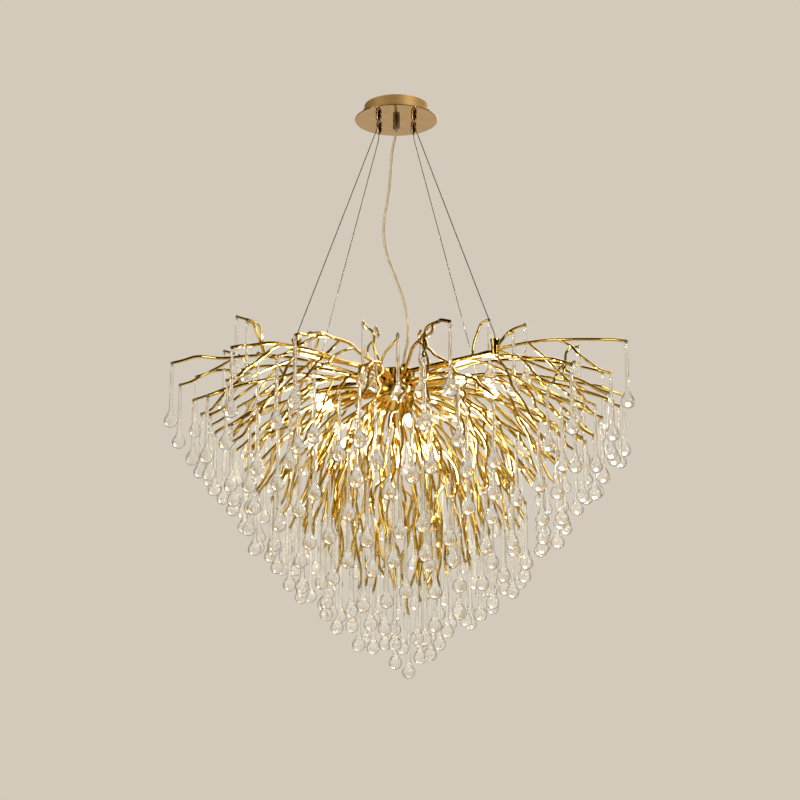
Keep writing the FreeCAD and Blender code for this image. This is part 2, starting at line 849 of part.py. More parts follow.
def make_drops():
    drop = drop_solid()
    for tier in tiers():
        tips = [
            tip for limb in limbs if tier_of(limb) == tier
            for tip in limb.tips if not swings(limb, tip)]
        group(f"drops_tier_{tier}", [hung_at(drop, tip, mm.ring_diameter) for tip in tips])
    for number, limb in enumerate(swinging_limbs, start=1):
        place = limb.tips[0]
        group(f"rim_drop_{number}", [hung_at(drop, place, mm.ring_diameter)])
        eye = place - UP * mm.ring_diameter
        print(f"rim_drop_{number} swings about {eye.x:.2f} {eye.y:.2f} {eye.z:.2f}")


# ---------------------------------------------------------------- lamps

# azimuth and lean in degrees, and the distance from the hub's centre to the holder's mouth
LAMP_AIMS = [
    (336, 6, 140), (14, 0.5, 195), (64, 1.5, 165), (100, -4.5, 165), (153, -1.5, 165),
    (213, -15, 165), (280, -28, 165), (226, -40, 180), (304, -48, 175), (89, -42, 185),
]


def lamp_heading(azimuth, lean):
    level = math.cos(math.radians(lean))
    return polar(math.radians(azimuth)) * level + UP * math.sin(math.radians(lean))


def lamps_of(shape_for):
    """One shape for each lamp, built by a function of the holder's distance, aimed from the hub."""
    return [
        aimed(shape_for(reach), hub_centre, lamp_heading(azimuth, lean))
        for azimuth, lean, reach in LAMP_AIMS]


def lamp_tube(reach):
    socket = mm.ball_diameter / 2 - mm.socket_depth
    end = reach - mm.holder_length + mm.holder_seat
    tube = Part.makeCylinder(mm.lamp_tube_diameter / 2, end - socket, Vector(0, 0, socket))
    bore = mm.lamp_tube_diameter / 2 - 1
    return tube.cut(Part.makeCylinder(bore, end - socket, Vector(0, 0, socket)))


def lamp_holder(reach):
    outer = mm.holder_diameter / 2
    inner = outer - mm.holder_wall
    foot = reach - mm.holder_length
    neck = mm.lamp_tube_diameter / 2 + mm.socket_clearance
    return turned([
        (neck, foot), (outer - 2, foot), (outer, foot + 2), (outer, reach), (inner, reach),
        (inner, reach - mm.lamp_seat_depth), (neck, reach - mm.lamp_seat_depth)])


def lamp_capsule(reach):
    radius = mm.lamp_diameter / 2
    foot = reach - mm.lamp_seat_depth + mm.seat_gap
    nose = foot + mm.lamp_length
    tube = Part.makeCylinder(radius, mm.lamp_length - radius, Vector(0, 0, foot))
    return tube.fuse(Part.makeSphere(radius, Vector(0, 0, nose - radius)))


def make_lamps():
    group("lamp_tubes", lamps_of(lamp_tube))
    group("lamp_holders", lamps_of(lamp_holder))
    group("lamps", lamps_of(lamp_capsule))


# ---------------------------------------------------------------- hub and suspension


def socket_for(start, direction, diameter):
    return aimed(Part.makeCylinder(diameter / 2 + mm.socket_clearance, mm.ball_diameter),
                 start, direction)


def make_hub_ball():
    """A ball cut flat on top, drilled for every branch and lamp tube."""
    radius = mm.ball_diameter / 2
    ball = Part.makeSphere(radius, hub_centre)
    top = hub_centre + UP * mm.cap_seat_height
    size = mm.ball_diameter
    slab = Part.makeBox(size, size, size, top - Vector(size / 2, size / 2, 0))
    holes = [socket_for(limb.main[0], limb.main[1] - limb.main[0], mm.limb_diameter) for limb in limbs]
    socket = radius - mm.socket_depth
    for azimuth, lean, _ in LAMP_AIMS:
        heading = lamp_heading(azimuth, lean)
        holes.append(socket_for(hub_centre + heading * socket, heading, mm.lamp_tube_diameter))
    thread = mm.bolt_diameter / 2 + mm.socket_clearance
    deep = mm.bolt_depth + mm.seat_gap
    holes.append(Part.makeCylinder(thread, deep, top - UP * deep))
    group("hub_ball", [ball.cut([slab] + holes)])


def make_hub_cap():
    radius = mm.cap_diameter / 2
    foot = Vector(0, 0, -cap_bottom)
    disc = Part.makeCylinder(radius, mm.cap_thickness, foot)
    rim = [edge for edge in disc.Edges if abs(edge.BoundBox.ZMin + cap_top) < 0.01]
    disc = disc.makeFillet(mm.cap_edge_round, [edge for edge in rim if len(edge.Vertexes) == 1])
    holes = [Part.makeCylinder(mm.bolt_diameter / 2 + mm.socket_clearance, mm.cap_thickness, foot)]
    for post in post_places:
        heading = Vector(post).normalize()
        start = heading * (radius - mm.arm_seat_depth) - UP * arm_drop
        holes.append(socket_for(start, heading, mm.arm_diameter))
    seat = Vector(mm.gland_offset, 0, mm.cord_seat_height - cap_top)
    holes.append(Part.makeCylinder(mm.cord_diameter / 2 + mm.seat_gap, mm.cap_thickness * 2,
                                   seat - UP * mm.cap_thickness * 2))
    group("hub_cap", [disc.cut(holes)])


def make_hub_bolt():
    head = hexagon(mm.nut_flats, mm.nut_thickness)
    length = mm.cap_thickness + mm.bolt_depth
    shank = Part.makeCylinder(mm.bolt_diameter / 2, length, Vector(0, 0, -length))
    group("hub_bolt", [aimed(head.fuse(shank), Vector(0, 0, -cap_top), UP)])


def make_cord_gland():
    """A tapered collar that stands on the cap and grips the cord."""
    bore = mm.cord_diameter / 2 + mm.seat_gap
    foot = mm.gland_diameter / 2
    top = foot - 2
    collar = turned([(bore, 0), (foot, 0), (foot, mm.gland_height / 2), (top, mm.gland_height),
                     (bore, mm.gland_height)])
    group("cord_gland", [aimed(collar, Vector(mm.gland_offset, 0, -cap_top), UP)])


def make_main_arms():
    inner = mm.cap_diameter / 2 - mm.arm_seat_depth
    rods = []
    for post in post_places:
        heading = Vector(post).normalize()
        start = heading * inner - UP * arm_drop
        length = post.Length - inner
        rods.append(aimed(Part.makeCylinder(mm.arm_diameter / 2, length), start, heading))
    group("main_arms", rods)


def make_suspension_posts():
    """Turned posts, drilled across for the arm and from above for the cable stop."""
    post_radius = mm.post_diameter / 2
    flare = mm.post_flare_diameter / 2
    height = mm.post_height
    bore = mm.stop_diameter / 2 + mm.seat_gap
    floor = height - mm.stop_length - mm.seat_gap * 2
    shape = turned([
        (0, 0), (post_radius - 1, 0), (post_radius, 1), (post_radius, height * 0.6),
        (flare, height * 0.9), (flare, height), (bore, height), (bore, floor), (0, floor)])
    posts = []
    for post in post_places:
        heading = Vector(post).normalize()
        blank = aimed(shape, post - UP * post_foot_drop, UP)
        start = post - heading * mm.post_diameter - UP * arm_drop
        hole = Part.makeCylinder(mm.arm_diameter / 2 + mm.socket_clearance, mm.post_diameter)
        posts.append(blank.cut(aimed(hole, start, heading)))
    group("suspension_posts", posts)


def make_cable_stops():
    """Ferrules on the cables' lower ends, sunk in the posts."""
    stop = turned([
        (0, 0), (mm.stop_diameter / 2, 0), (mm.stop_diameter / 2, mm.stop_length),
        (0, mm.stop_length)])
    drop = post_top_drop + mm.stop_length + mm.seat_gap
    group("cable_stops", [aimed(stop, post - UP * drop, UP) for post in post_places])


# ---------------------------------------------------------------- build, check and write


def build():
    make_ceiling_crossbar()
    make_canopy_pan()
    make_canopy_plate()
    make_pan_screws()
    make_terminal_block()
    make_gripper_bodies()
    make_gripper_nuts()
    make_gripper_plungers()
    make_cord_grip()
    make_cord_grip_nut()
    make_suspension_cables()
    make_power_cord()
    make_hub_ball()
    make_hub_cap()
    make_hub_bolt()
    make_cord_gland()
    make_main_arms()
    make_suspension_posts()
    make_cable_stops()
    make_lamps()
    make_branches()
    make_rings()
    make_drops()


def check():
    document.recompute()
    for item in document.Objects:
        if "Invalid" in item.State or "Error" in item.State:
            raise ValueError(f"{item.Label} failed to compute: {item.State}")
    for part in parts:
        if part.Shape.isNull() or not part.Shape.isValid() or not part.Shape.Solids:
            raise ValueError(f"{part.Label} has no valid solid")


def write():
    os.makedirs("parts", exist_ok=True)
    for part in parts:
        part.Shape.exportStep(f"parts/{part.Label}.step")
    print(f"{len(parts)} nodes, {sum(len(part.Shape.Solids) for part in parts)} solids")


build()
check()
write()
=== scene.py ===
"""Branch chandelier with glass drops: its finishes, glass, lamps, cables and cord.

Metres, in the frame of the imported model: the origin is on the ceiling at the middle of the
canopy, +Z is up and the viewer looks along +Y.
"""

import json
import logging
import math
from collections.abc import Iterable
from dataclasses import dataclass, field
from enum import Enum
from typing import Any

import bmesh
import bpy
from mathutils import Matrix, Vector

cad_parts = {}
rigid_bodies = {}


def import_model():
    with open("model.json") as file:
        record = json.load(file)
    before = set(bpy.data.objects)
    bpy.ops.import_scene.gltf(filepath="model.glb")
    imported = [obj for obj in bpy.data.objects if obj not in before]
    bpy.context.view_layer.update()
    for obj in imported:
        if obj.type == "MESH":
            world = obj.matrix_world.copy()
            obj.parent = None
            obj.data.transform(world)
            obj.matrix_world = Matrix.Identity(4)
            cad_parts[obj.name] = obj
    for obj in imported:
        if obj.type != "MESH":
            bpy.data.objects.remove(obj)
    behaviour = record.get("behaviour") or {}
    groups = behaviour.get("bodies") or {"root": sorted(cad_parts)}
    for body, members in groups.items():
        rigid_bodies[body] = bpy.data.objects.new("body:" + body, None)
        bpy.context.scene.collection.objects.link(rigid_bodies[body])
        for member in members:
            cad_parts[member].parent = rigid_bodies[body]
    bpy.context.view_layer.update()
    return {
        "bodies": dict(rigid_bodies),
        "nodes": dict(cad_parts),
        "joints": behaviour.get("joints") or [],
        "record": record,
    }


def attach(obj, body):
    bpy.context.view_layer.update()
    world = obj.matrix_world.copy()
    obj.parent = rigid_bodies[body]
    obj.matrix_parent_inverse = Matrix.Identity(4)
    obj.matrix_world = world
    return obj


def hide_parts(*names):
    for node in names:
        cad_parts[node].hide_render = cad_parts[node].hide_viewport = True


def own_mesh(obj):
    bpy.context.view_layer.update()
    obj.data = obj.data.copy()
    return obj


log = logging.getLogger("chandelier")

Pair = tuple[float, float]
Triple = tuple[float, float, float]

MM = 0.001
# tiers of branches, and of the drops that hang from them
TIERS = 8
# points nearer than this are one: in a piece turned here, and in a CAD node's loose triangles
TURNED_WELD = 1e-6
CAD_WELD = 1e-5
# radians that Blender's wave texture runs through in one unit of its scaled coordinate
WAVE_RATE = 20


# ---------------------------------------------------------------- colour and shader helpers


def linear(colour: str, alpha: float = 1.0) -> tuple[float, float, float, float]:
    """Turns an sRGB hex colour to linear light.

    Args:
        colour: six hex digits after a hash.
        alpha: the fourth value.

    Returns:
        Red, green, blue and alpha.
    """
    channels = []
    for start in (1, 3, 5):
        value = int(colour[start:start + 2], 16) / 255
        channels.append(value / 12.92 if value <= 0.04045 else ((value + 0.055) / 1.055) ** 2.4)
    return (channels[0], channels[1], channels[2], alpha)


def add_node(tree: bpy.types.NodeTree, kind: str, values: dict[str | int, Any] | None = None,
             **settings: Any) -> bpy.types.Node:
    """Adds a node with its settings, values and links.

    Args:
        tree: the node tree to add to.
        kind: the node's type name.
        values: input name or number to a constant, or to the output socket that feeds it.
        settings: the node's own properties.

    Returns:
        The new node.
    """
    node = tree.nodes.new(kind)
    for name, setting in settings.items():
        setattr(node, name, setting)
    for name, value in (values or {}).items():
        if isinstance(value, bpy.types.NodeSocket):
            tree.links.new(value, node.inputs[name])
        else:
            node.inputs[name].default_value = value
    return node


def set_ramp(node: bpy.types.Node, stops: Iterable[tuple[float, str]]) -> None:
    """Gives a colour ramp its stops.

    Args:
        node: a colour ramp node.
        stops: positions and hex colours, in order.
    """
    ramp = node.color_ramp
    stops = list(stops)
    while len(ramp.elements) < len(stops):
        ramp.elements.new(0.5)
    for element, (position, colour) in zip(ramp.elements, stops):
        element.position = position
        element.color = linear(colour)


@dataclass(frozen=True)
class Finish:
    """One surface finish. Subclasses draw its nodes round the shader."""

    name: str

    def material(self) -> bpy.types.Material:
        """The Blender material of this finish, made the first time that it is asked for.

        Returns:
            The material.
        """
        found = bpy.data.materials.get(self.name)
        if found:
            return found
        material = bpy.data.materials.new(self.name)
        material.use_nodes = True
        tree = material.node_tree
        self.draw(tree, tree.nodes["Principled BSDF"])
        return material

    def draw(self, tree: bpy.types.NodeTree, shader: bpy.types.Node) -> None:
        """Sets the shader and adds the nodes that feed it.

        Args:
            tree: the material's node tree.
            shader: its Principled BSDF.
        """
        raise NotImplementedError


@dataclass(frozen=True)
class GoldPlate(Finish):
    """Polished gold plate: its colour, its polish and the ripple that shaping left in the metal."""

    deep: str
    bright: str
    roughness: float
    ripple_mm: float = 9.0
    ripple_strength: float = 0.25
    ripple_height_mm: float = 0.6
    tone_mm: float = 28.0
    buff_mm: float = 4.0

    def draw(self, tree: bpy.types.NodeTree, shader: bpy.types.Node) -> None:
        """Electroplated gold over buffed metal: warm, with soft ripples and an uneven polish.

        Args:
            tree: the material's node tree.
            shader: its Principled BSDF.
        """
        place = add_node(tree, "ShaderNodeTexCoord").outputs["Object"]
        tone = add_node(tree, "ShaderNodeTexNoise", {
            "Vector": place, "Scale": 1 / (self.tone_mm * MM), "Detail": 3.0})
        ramp = add_node(tree, "ShaderNodeValToRGB", {"Fac": tone.outputs["Fac"]})
        set_ramp(ramp, [(0.32, self.deep), (0.68, self.bright)])
        buff = add_node(tree, "ShaderNodeTexNoise", {
            "Vector": place, "Scale": 1 / (self.buff_mm * MM), "Detail": 2.0})
        polish = add_node(tree, "ShaderNodeMapRange", {
            "Value": buff.outputs["Fac"], "From Min": 0.3, "From Max": 0.7,
            "To Min": self.roughness * 0.7, "To Max": self.roughness * 1.4})
        ripple = add_node(tree, "ShaderNodeTexNoise", {
            "Vector": place, "Scale": 1 / (self.ripple_mm * MM), "Detail": 1.0})
        bump = add_node(tree, "ShaderNodeBump", {
            "Height": ripple.outputs["Fac"], "Strength": self.ripple_strength,
            "Distance": self.ripple_height_mm * MM})
        shader.inputs["Metallic"].default_value = 1.0
        tree.links.new(ramp.outputs["Color"], shader.inputs["Base Color"])
        tree.links.new(polish.outputs["Result"], shader.inputs["Roughness"])
        tree.links.new(bump.outputs["Normal"], shader.inputs["Normal"])


@dataclass(frozen=True)
class BrushedGold(Finish):
    """Satin gold plate: a spun surface with fine lines round the axis."""

    deep: str
    bright: str
    roughness: float
    metallic: float = 0.7
    line_mm: float = 0.9
    streak_mm: float = 125.0
    line_strength: float = 0.15
    line_height_mm: float = 0.2

    def draw(self, tree: bpy.types.NodeTree, shader: bpy.types.Node) -> None:
        """A pan spun on a lathe and plated: fine level lines, real ones drawn coarser to show.

        Args:
            tree: the material's node tree.
            shader: its Principled BSDF.
        """
        place = add_node(tree, "ShaderNodeTexCoord").outputs["Object"]
        along = 1 / (self.streak_mm * MM)
        stretch = add_node(tree, "ShaderNodeMapping", {
            "Vector": place, "Scale": (along, along, 1 / (self.line_mm * MM))})
        lines = add_node(tree, "ShaderNodeTexNoise", {
            "Vector": stretch.outputs["Vector"], "Scale": 1.0, "Detail": 4.0})
        ramp = add_node(tree, "ShaderNodeValToRGB", {"Fac": lines.outputs["Fac"]})
        set_ramp(ramp, [(0.3, self.deep), (0.7, self.bright)])
        bump = add_node(tree, "ShaderNodeBump", {
            "Height": lines.outputs["Fac"], "Strength": self.line_strength,
            "Distance": self.line_height_mm * MM})
        shader.inputs["Metallic"].default_value = self.metallic
        shader.inputs["Roughness"].default_value = self.roughness
        tree.links.new(ramp.outputs["Color"], shader.inputs["Base Color"])
        tree.links.new(bump.outputs["Normal"], shader.inputs["Normal"])


@dataclass(frozen=True)
class ThinPlate(Finish):
    """Nickel, zinc or pale gold plate in one thin, even coat."""

    colour: str
    stain: str
    roughness: float
    grain_mm: float = 2.0

    def draw(self, tree: bpy.types.NodeTree, shader: bpy.types.Node) -> None:
        """Barrel-plated metal: faintly clouded, and duller where it is darker.

        Args:
            tree: the material's node tree.
            shader: its Principled BSDF.
        """
        place = add_node(tree, "ShaderNodeTexCoord").outputs["Object"]
        cloud = add_node(tree, "ShaderNodeTexNoise", {
            "Vector": place, "Scale": 1 / (self.grain_mm * MM), "Detail": 3.0})
        ramp = add_node(tree, "ShaderNodeValToRGB", {"Fac": cloud.outputs["Fac"]})
        set_ramp(ramp, [(0.35, self.stain), (0.62, self.colour)])
        polish = add_node(tree, "ShaderNodeMapRange", {
            "Value": cloud.outputs["Fac"], "To Min": self.roughness * 1.3, "To Max": self.roughness * 0.7})
        shader.inputs["Metallic"].default_value = 1.0
        tree.links.new(ramp.outputs["Color"], shader.inputs["Base Color"])
        tree.links.new(polish.outputs["Result"], shader.inputs["Roughness"])


@dataclass(frozen=True)
class WireRope(Finish):
    """Stranded stainless steel rope."""

    crown: str
    # painted shade: the darker colour laid in the grooves between the strands
    groove_shade: str
    metallic: float = 0.9
    roughness: float = 0.42
    lay_mm: float = 3.0
    groove_strength: float = 0.4
    groove_depth_mm: float = 0.2
    slant: Triple = (0.35, 0.6, 0.0)

    def draw(self, tree: bpy.types.NodeTree, shader: bpy.types.Node) -> None:
        """Strands laid in a spiral: slanting crowns, and grooves darkened with painted shade, drawn
        coarser than real.

        Args:
            tree: the material's node tree.
            shader: its Principled BSDF.
        """
        place = add_node(tree, "ShaderNodeTexCoord").outputs["Object"]
        slanted = add_node(tree, "ShaderNodeMapping", {"Vector": place, "Rotation": self.slant})
        strands = add_node(tree, "ShaderNodeTexWave", {
            "Vector": slanted.outputs["Vector"], "Scale": 2 * math.pi / (WAVE_RATE * self.lay_mm * MM)},
            bands_direction="Z")
        # painted shade: the ramp darkens the colour in the grooves, where the bump sinks
        ramp = add_node(tree, "ShaderNodeValToRGB", {"Fac": strands.outputs["Fac"]})
        set_ramp(ramp, [(0.15, self.groove_shade), (0.6, self.crown)])
        bump = add_node(tree, "ShaderNodeBump", {
            "Height": strands.outputs["Fac"], "Strength": self.groove_strength,
            "Distance": self.groove_depth_mm * MM})
        shader.inputs["Metallic"].default_value = self.metallic
        shader.inputs["Roughness"].default_value = self.roughness
        tree.links.new(ramp.outputs["Color"], shader.inputs["Base Color"])
        tree.links.new(bump.outputs["Normal"], shader.inputs["Normal"])


@dataclass(frozen=True)
class Plastic(Finish):
    """Moulded or extruded plastic, solid or clear."""

    colour: str
    shade: str
    roughness: float
    clearness: float = 0.0
    ior: float = 1.53
    skin_mm: float = 1.5
    flow_mm: float = 15.0
    skin_strength: float = 0.08
    skin_height_mm: float = 0.2

    def draw(self, tree: bpy.types.NodeTree, shader: bpy.types.Node) -> None:
        """Nylon or soft PVC: an even colour with faint flow clouds, and a slightly uneven skin.

        Args:
            tree: the material's node tree.
            shader: its Principled BSDF.
        """
        place = add_node(tree, "ShaderNodeTexCoord").outputs["Object"]
        flow = add_node(tree, "ShaderNodeTexNoise", {
            "Vector": place, "Scale": 1 / (self.flow_mm * MM), "Detail": 2.0})
        ramp = add_node(tree, "ShaderNodeValToRGB", {"Fac": flow.outputs["Fac"]})
        set_ramp(ramp, [(0.3, self.shade), (0.7, self.colour)])
        skin = add_node(tree, "ShaderNodeTexNoise", {"Vector": place, "Scale": 1 / (self.skin_mm * MM)})
        bump = add_node(tree, "ShaderNodeBump", {
            "Height": skin.outputs["Fac"], "Strength": self.skin_strength,
            "Distance": self.skin_height_mm * MM})
        shader.inputs["Roughness"].default_value = self.roughness
        shader.inputs["IOR"].default_value = self.ior
        shader.inputs["Transmission Weight"].default_value = self.clearness
        tree.links.new(ramp.outputs["Color"], shader.inputs["Base Color"])
        tree.links.new(bump.outputs["Normal"], shader.inputs["Normal"])


@dataclass(frozen=True)
class DrawnGlass(Finish):
    """Clear glass drawn out by hand from a gather."""

    tint: str
    # painted shade: the colour that the glass darkens to at its glancing edge, standing in for the dark
    # room seen through it there
    rim: str
    clearness: float
    ior: float = 1.52
    waver_mm: float = 7.0
    seed_mm: float = 5.0
    # how far a seed reaches from its middle, in shares of the seeds' spacing
    seed_edge: Pair = (0.06, 0.14)
    relief_strength: float = 0.12
    relief_height_mm: float = 0.5

    def draw(self, tree: bpy.types.NodeTree, shader: bpy.types.Node) -> None:
        """Clear soda glass, fire polished: bright, with a slight waver, a few fine seeds and a painted
        dark rim at its glancing edge.

        Args:
            tree: the material's node tree.
            shader: its Principled BSDF.
        """
        place = add_node(tree, "ShaderNodeTexCoord").outputs["Object"]
        waver = add_node(tree, "ShaderNodeTexNoise", {
            "Vector": place, "Scale": 1 / (self.waver_mm * MM), "Detail": 1.0})
        seeds = add_node(tree, "ShaderNodeTexVoronoi", {
            "Vector": place, "Scale": 1 / (self.seed_mm * MM)})
        seed = add_node(tree, "ShaderNodeMapRange", {
            "Value": seeds.outputs["Distance"], "From Min": self.seed_edge[0],
            "From Max": self.seed_edge[1]})
        relief = add_node(tree, "ShaderNodeMath", {
            0: waver.outputs["Fac"], 1: seed.outputs["Result"]}, operation="ADD")
        bump = add_node(tree, "ShaderNodeBump", {
            "Height": relief.outputs["Value"], "Strength": self.relief_strength,
            "Distance": self.relief_height_mm * MM})
        # painted shade: the base colour darkens from the tint to the rim colour towards the glancing edge
        edge = add_node(tree, "ShaderNodeLayerWeight", {"Blend": 0.5})
        rim = add_node(tree, "ShaderNodeValToRGB", {"Fac": edge.outputs["Facing"]})
        set_ramp(rim, [(0.45, self.tint), (0.8, self.rim)])
        shader.inputs["Roughness"].default_value = 0.0
        shader.inputs["IOR"].default_value = self.ior
        shader.inputs["Transmission Weight"].default_value = self.clearness
        tree.links.new(rim.outputs["Color"], shader.inputs["Base Color"])
        tree.links.new(bump.outputs["Normal"], shader.inputs["Normal"])
        # a shadow ray goes straight through, as clear glass casts almost no shadow
        kind = add_node(tree, "ShaderNodeLightPath")
        clear = add_node(tree, "ShaderNodeBsdfTransparent", {"Color": linear(self.tint)})
        both = add_node(tree, "ShaderNodeMixShader", {
            0: kind.outputs["Is Shadow Ray"], 1: shader.outputs["BSDF"], 2: clear.outputs["BSDF"]})
        tree.links.new(both.outputs["Shader"], tree.nodes["Material Output"].inputs["Surface"])


@dataclass(frozen=True)
class LampGlow(Finish):
    """Frosted lamp glass, lit."""

    colour: str
    edge: str
    strength: float
    unlit: str = "#F4EEE2"
    roughness: float = 0.5
    frost_mm: float = 1.2
    frost_strength: float = 0.2
    frost_height_mm: float = 0.1

    def draw(self, tree: bpy.types.NodeTree, shader: bpy.types.Node) -> None:
        """Frosted glass over a lit filament: white in the middle, warmer towards the edges.

        Args:
            tree: the material's node tree.
            shader: its Principled BSDF.
        """
        facing = add_node(tree, "ShaderNodeLayerWeight", {"Blend": 0.4})
        ramp = add_node(tree, "ShaderNodeValToRGB", {"Fac": facing.outputs["Facing"]})
        set_ramp(ramp, [(0.1, self.colour), (0.8, self.edge)])
        place = add_node(tree, "ShaderNodeTexCoord").outputs["Object"]
        frost = add_node(tree, "ShaderNodeTexNoise", {"Vector": place, "Scale": 1 / (self.frost_mm * MM)})
        bump = add_node(tree, "ShaderNodeBump", {
            "Height": frost.outputs["Fac"], "Strength": self.frost_strength,
            "Distance": self.frost_height_mm * MM})
        shader.inputs["Base Color"].default_value = linear(self.unlit)
        shader.inputs["Roughness"].default_value = self.roughness
        shader.inputs["Emission Strength"].default_value = self.strength
        tree.links.new(ramp.outputs["Color"], shader.inputs["Emission Color"])
        tree.links.new(bump.outputs["Normal"], shader.inputs["Normal"])


class Finishes:
    """The finishes of this chandelier."""

    # gold-plated rod, bent cold and buffed: strong yellow, with broken highlights along each bend
    branch_gold = GoldPlate("gold_plated_rod", "#F2C857", "#FFEA94", 0.07)
    # gold-plated turned brass, of the hub, arms, posts and lamp holders: the same gold, but smooth
    turned_gold = GoldPlate("gold_plated_turned_brass", "#EDC257", "#FDE08A", 0.1, 20.0, 0.08)
    # gold-plated spun steel, satin, of the canopy's pan: a broad soft shine over fine level lines
    pan_gold = BrushedGold("satin_gold_spun_steel", "#D9AC66", "#E8C586", 0.55)
    # gold-plated sheet, mirror polished, of the canopy's plate: a level mirror that takes the room's tone
    plate_gold = GoldPlate("mirror_gold_sheet", "#C9A570", "#D2AF7A", 0.06, 60.0, 0.02)
    # pale gold plate on turned brass, of the grippers and their plungers: small sharp glints
    pale_gold = ThinPlate("pale_gold_plated_brass", "#DCC592", "#C6AB76", 0.09, 8.0)
    # nickel-plated brass, of the nuts and screws: bright and without colour
    nickel = ThinPlate("bright_nickel_plate", "#D6D2C8", "#B9B4A8", 0.14)
    # zinc-plated pressed steel, of the crossbar: a dull, clouded grey
    zinc = ThinPlate("zinc_plated_steel", "#B4B6B8", "#8E9194", 0.38, 6.0)
    # stranded stainless steel rope, of the cables and their stops: a grey line with slanting grooves,
    # darkened with painted shade
    rope = WireRope("stranded_steel_rope", "#A9A79F", "#5C5A54")
    # moulded nylon, of the terminal block: matt and off-white
    nylon = Plastic("moulded_nylon", "#EDEAE0", "#DCD8CB", 0.5)
    # clear moulded nylon, of the cord grip: glossy and tinted, with the plate showing through
    grip = Plastic("clear_moulded_nylon", "#D8CBB0", "#C6B694", 0.07, 0.92)
    # soft PVC sheath, nearly clear over the cord's wires: pale, with light in it
    cord = Plastic("clear_pvc_sheath", "#CFC4AA", "#B9AB88", 0.2, 0.45)
    # drawn clear glass: a painted dark rim at its glancing edge, standing in for the dark room refracted
    # there, its seeds catching the lamps
    glass = DrawnGlass("drawn_clear_glass", "#FCFDFC", "#4C4439", 0.92)
    # frosted glass, lit: white, and the only strong light among the branches
    lamp = LampGlow("lit_frosted_glass", "#FFF1D6", "#FFE2AE", 400.0)


# ---------------------------------------------------------------- modelling helpers


def clear_selection() -> None:
    """Leaves edit mode and deselects every object."""
    if bpy.context.object and bpy.context.object.mode != "OBJECT":
        bpy.ops.object.mode_set(mode="OBJECT")
    bpy.ops.object.select_all(action="DESELECT")


def pick(objects: list[bpy.types.Object]) -> None:
    """Selects these objects alone, with the first one active.

    Args:
        objects: the objects to select.
    """
    clear_selection()
    for item in objects:
        item.select_set(True)
    bpy.context.view_layer.objects.active = objects[0]


def coat(piece: bpy.types.Object, finish: Finish) -> None:
    """Gives a new piece one finish all over.

    Args:
        piece: the piece.
        finish: the finish to give.
    """
    piece.data.materials.clear()
    piece.data.materials.append(finish.material())


def turned_piece(name: str, profile: list[Pair], steps: int) -> bpy.types.Object:
    """Draws a profile by extruding one point, and spins it about Z.

    Args:
        name: the new object's name.
        profile: (radius, height) points in metres, from one pole to the other.
        steps: faces around.

    Returns:
        A closed, smooth mesh object at the origin.
    """
    clear_selection()
    radius, height = profile[0]
    bpy.ops.mesh.primitive_plane_add(size=MM, location=(radius, 0, height))
    piece = bpy.context.object
    piece.name = name
    bpy.ops.object.transform_apply(location=True, rotation=True, scale=True)
    bpy.ops.object.mode_set(mode="EDIT")
    bpy.ops.mesh.select_all(action="SELECT")
    bpy.ops.mesh.merge(type="CENTER")
    for (r0, z0), (r1, z1) in zip(profile, profile[1:]):
        bpy.ops.mesh.extrude_region_move(TRANSFORM_OT_translate={"value": (r1 - r0, 0, z1 - z0)})
    bpy.ops.mesh.select_all(action="SELECT")
    bpy.ops.mesh.spin(steps=steps, angle=2 * math.pi, center=(0, 0, 0), axis=(0, 0, 1))
    bpy.ops.mesh.select_all(action="SELECT")
    bpy.ops.mesh.remove_doubles(threshold=TURNED_WELD)
    bpy.ops.mesh.normals_make_consistent(inside=False)
    bpy.ops.object.mode_set(mode="OBJECT")
    bpy.ops.object.shade_smooth()
    return piece


def arc(centre: Pair, radius: float, start: float, end: float, steps: int) -> list[Pair]:
    """Points along a circular part of a profile.

    Args:
        centre: its (radius, height) centre.
        radius: the arc's own radius.
        start: first angle in degrees.
        end: last angle in degrees.
        steps: the number of steps between them.

    Returns:
        steps + 1 points.
    """
    angles = [math.radians(start + (end - start) * k / steps) for k in range(steps + 1)]
    return [(centre[0] + radius * math.cos(a), centre[1] + radius * math.sin(a)) for a in angles]


def copies(pattern: bpy.types.Object, places: list[Matrix], name: str) -> bpy.types.Object:
    """Copies a piece to several places and joins the copies.

    Args:
        pattern: the piece to copy, modelled at the origin.
        places: one matrix for each copy.
        name: the joined object's name.

    Returns:
        One object at the origin whose mesh holds every copy.
    """
    made = []
    for place in places:
        copy = pattern.copy()
        copy.data = pattern.data.copy()
        copy.data.transform(place)
        bpy.context.collection.objects.link(copy)
        made.append(copy)
    pick(made)
    if len(made) > 1:
        bpy.ops.object.join()
    joined = bpy.context.object
    joined.name = name
    return joined


@dataclass
class Solid:
    """The box of one separate solid in a CAD node."""

    low: Vector
    high: Vector

    @property
    def middle(self) -> Vector:
        """The middle of the box."""
        return (self.low + self.high) / 2


def solids_of(node: bpy.types.Object) -> list[Solid]:
    """Finds the separate solids of a CAD node from a merged copy of its mesh.

    Args:
        node: the node's object.

    Returns:
        One box for each solid.
    """
    work = bmesh.new()
    work.from_mesh(node.data)
    bmesh.ops.remove_doubles(work, verts=work.verts, dist=CAD_WELD)
    found = []
    seen: set[int] = set()
    for start in work.verts:
        if start.index in seen:
            continue
        seen.add(start.index)
        group = [start]
        for vertex in group:
            for edge in vertex.link_edges:
                other = edge.other_vert(vertex)
                if other.index not in seen:
                    seen.add(other.index)
                    group.append(other)
        low = Vector([min(v.co[k] for v in group) for k in range(3)])
        high = Vector([max(v.co[k] for v in group) for k in range(3)])
        found.append(Solid(low, high))
    work.free()
    return found


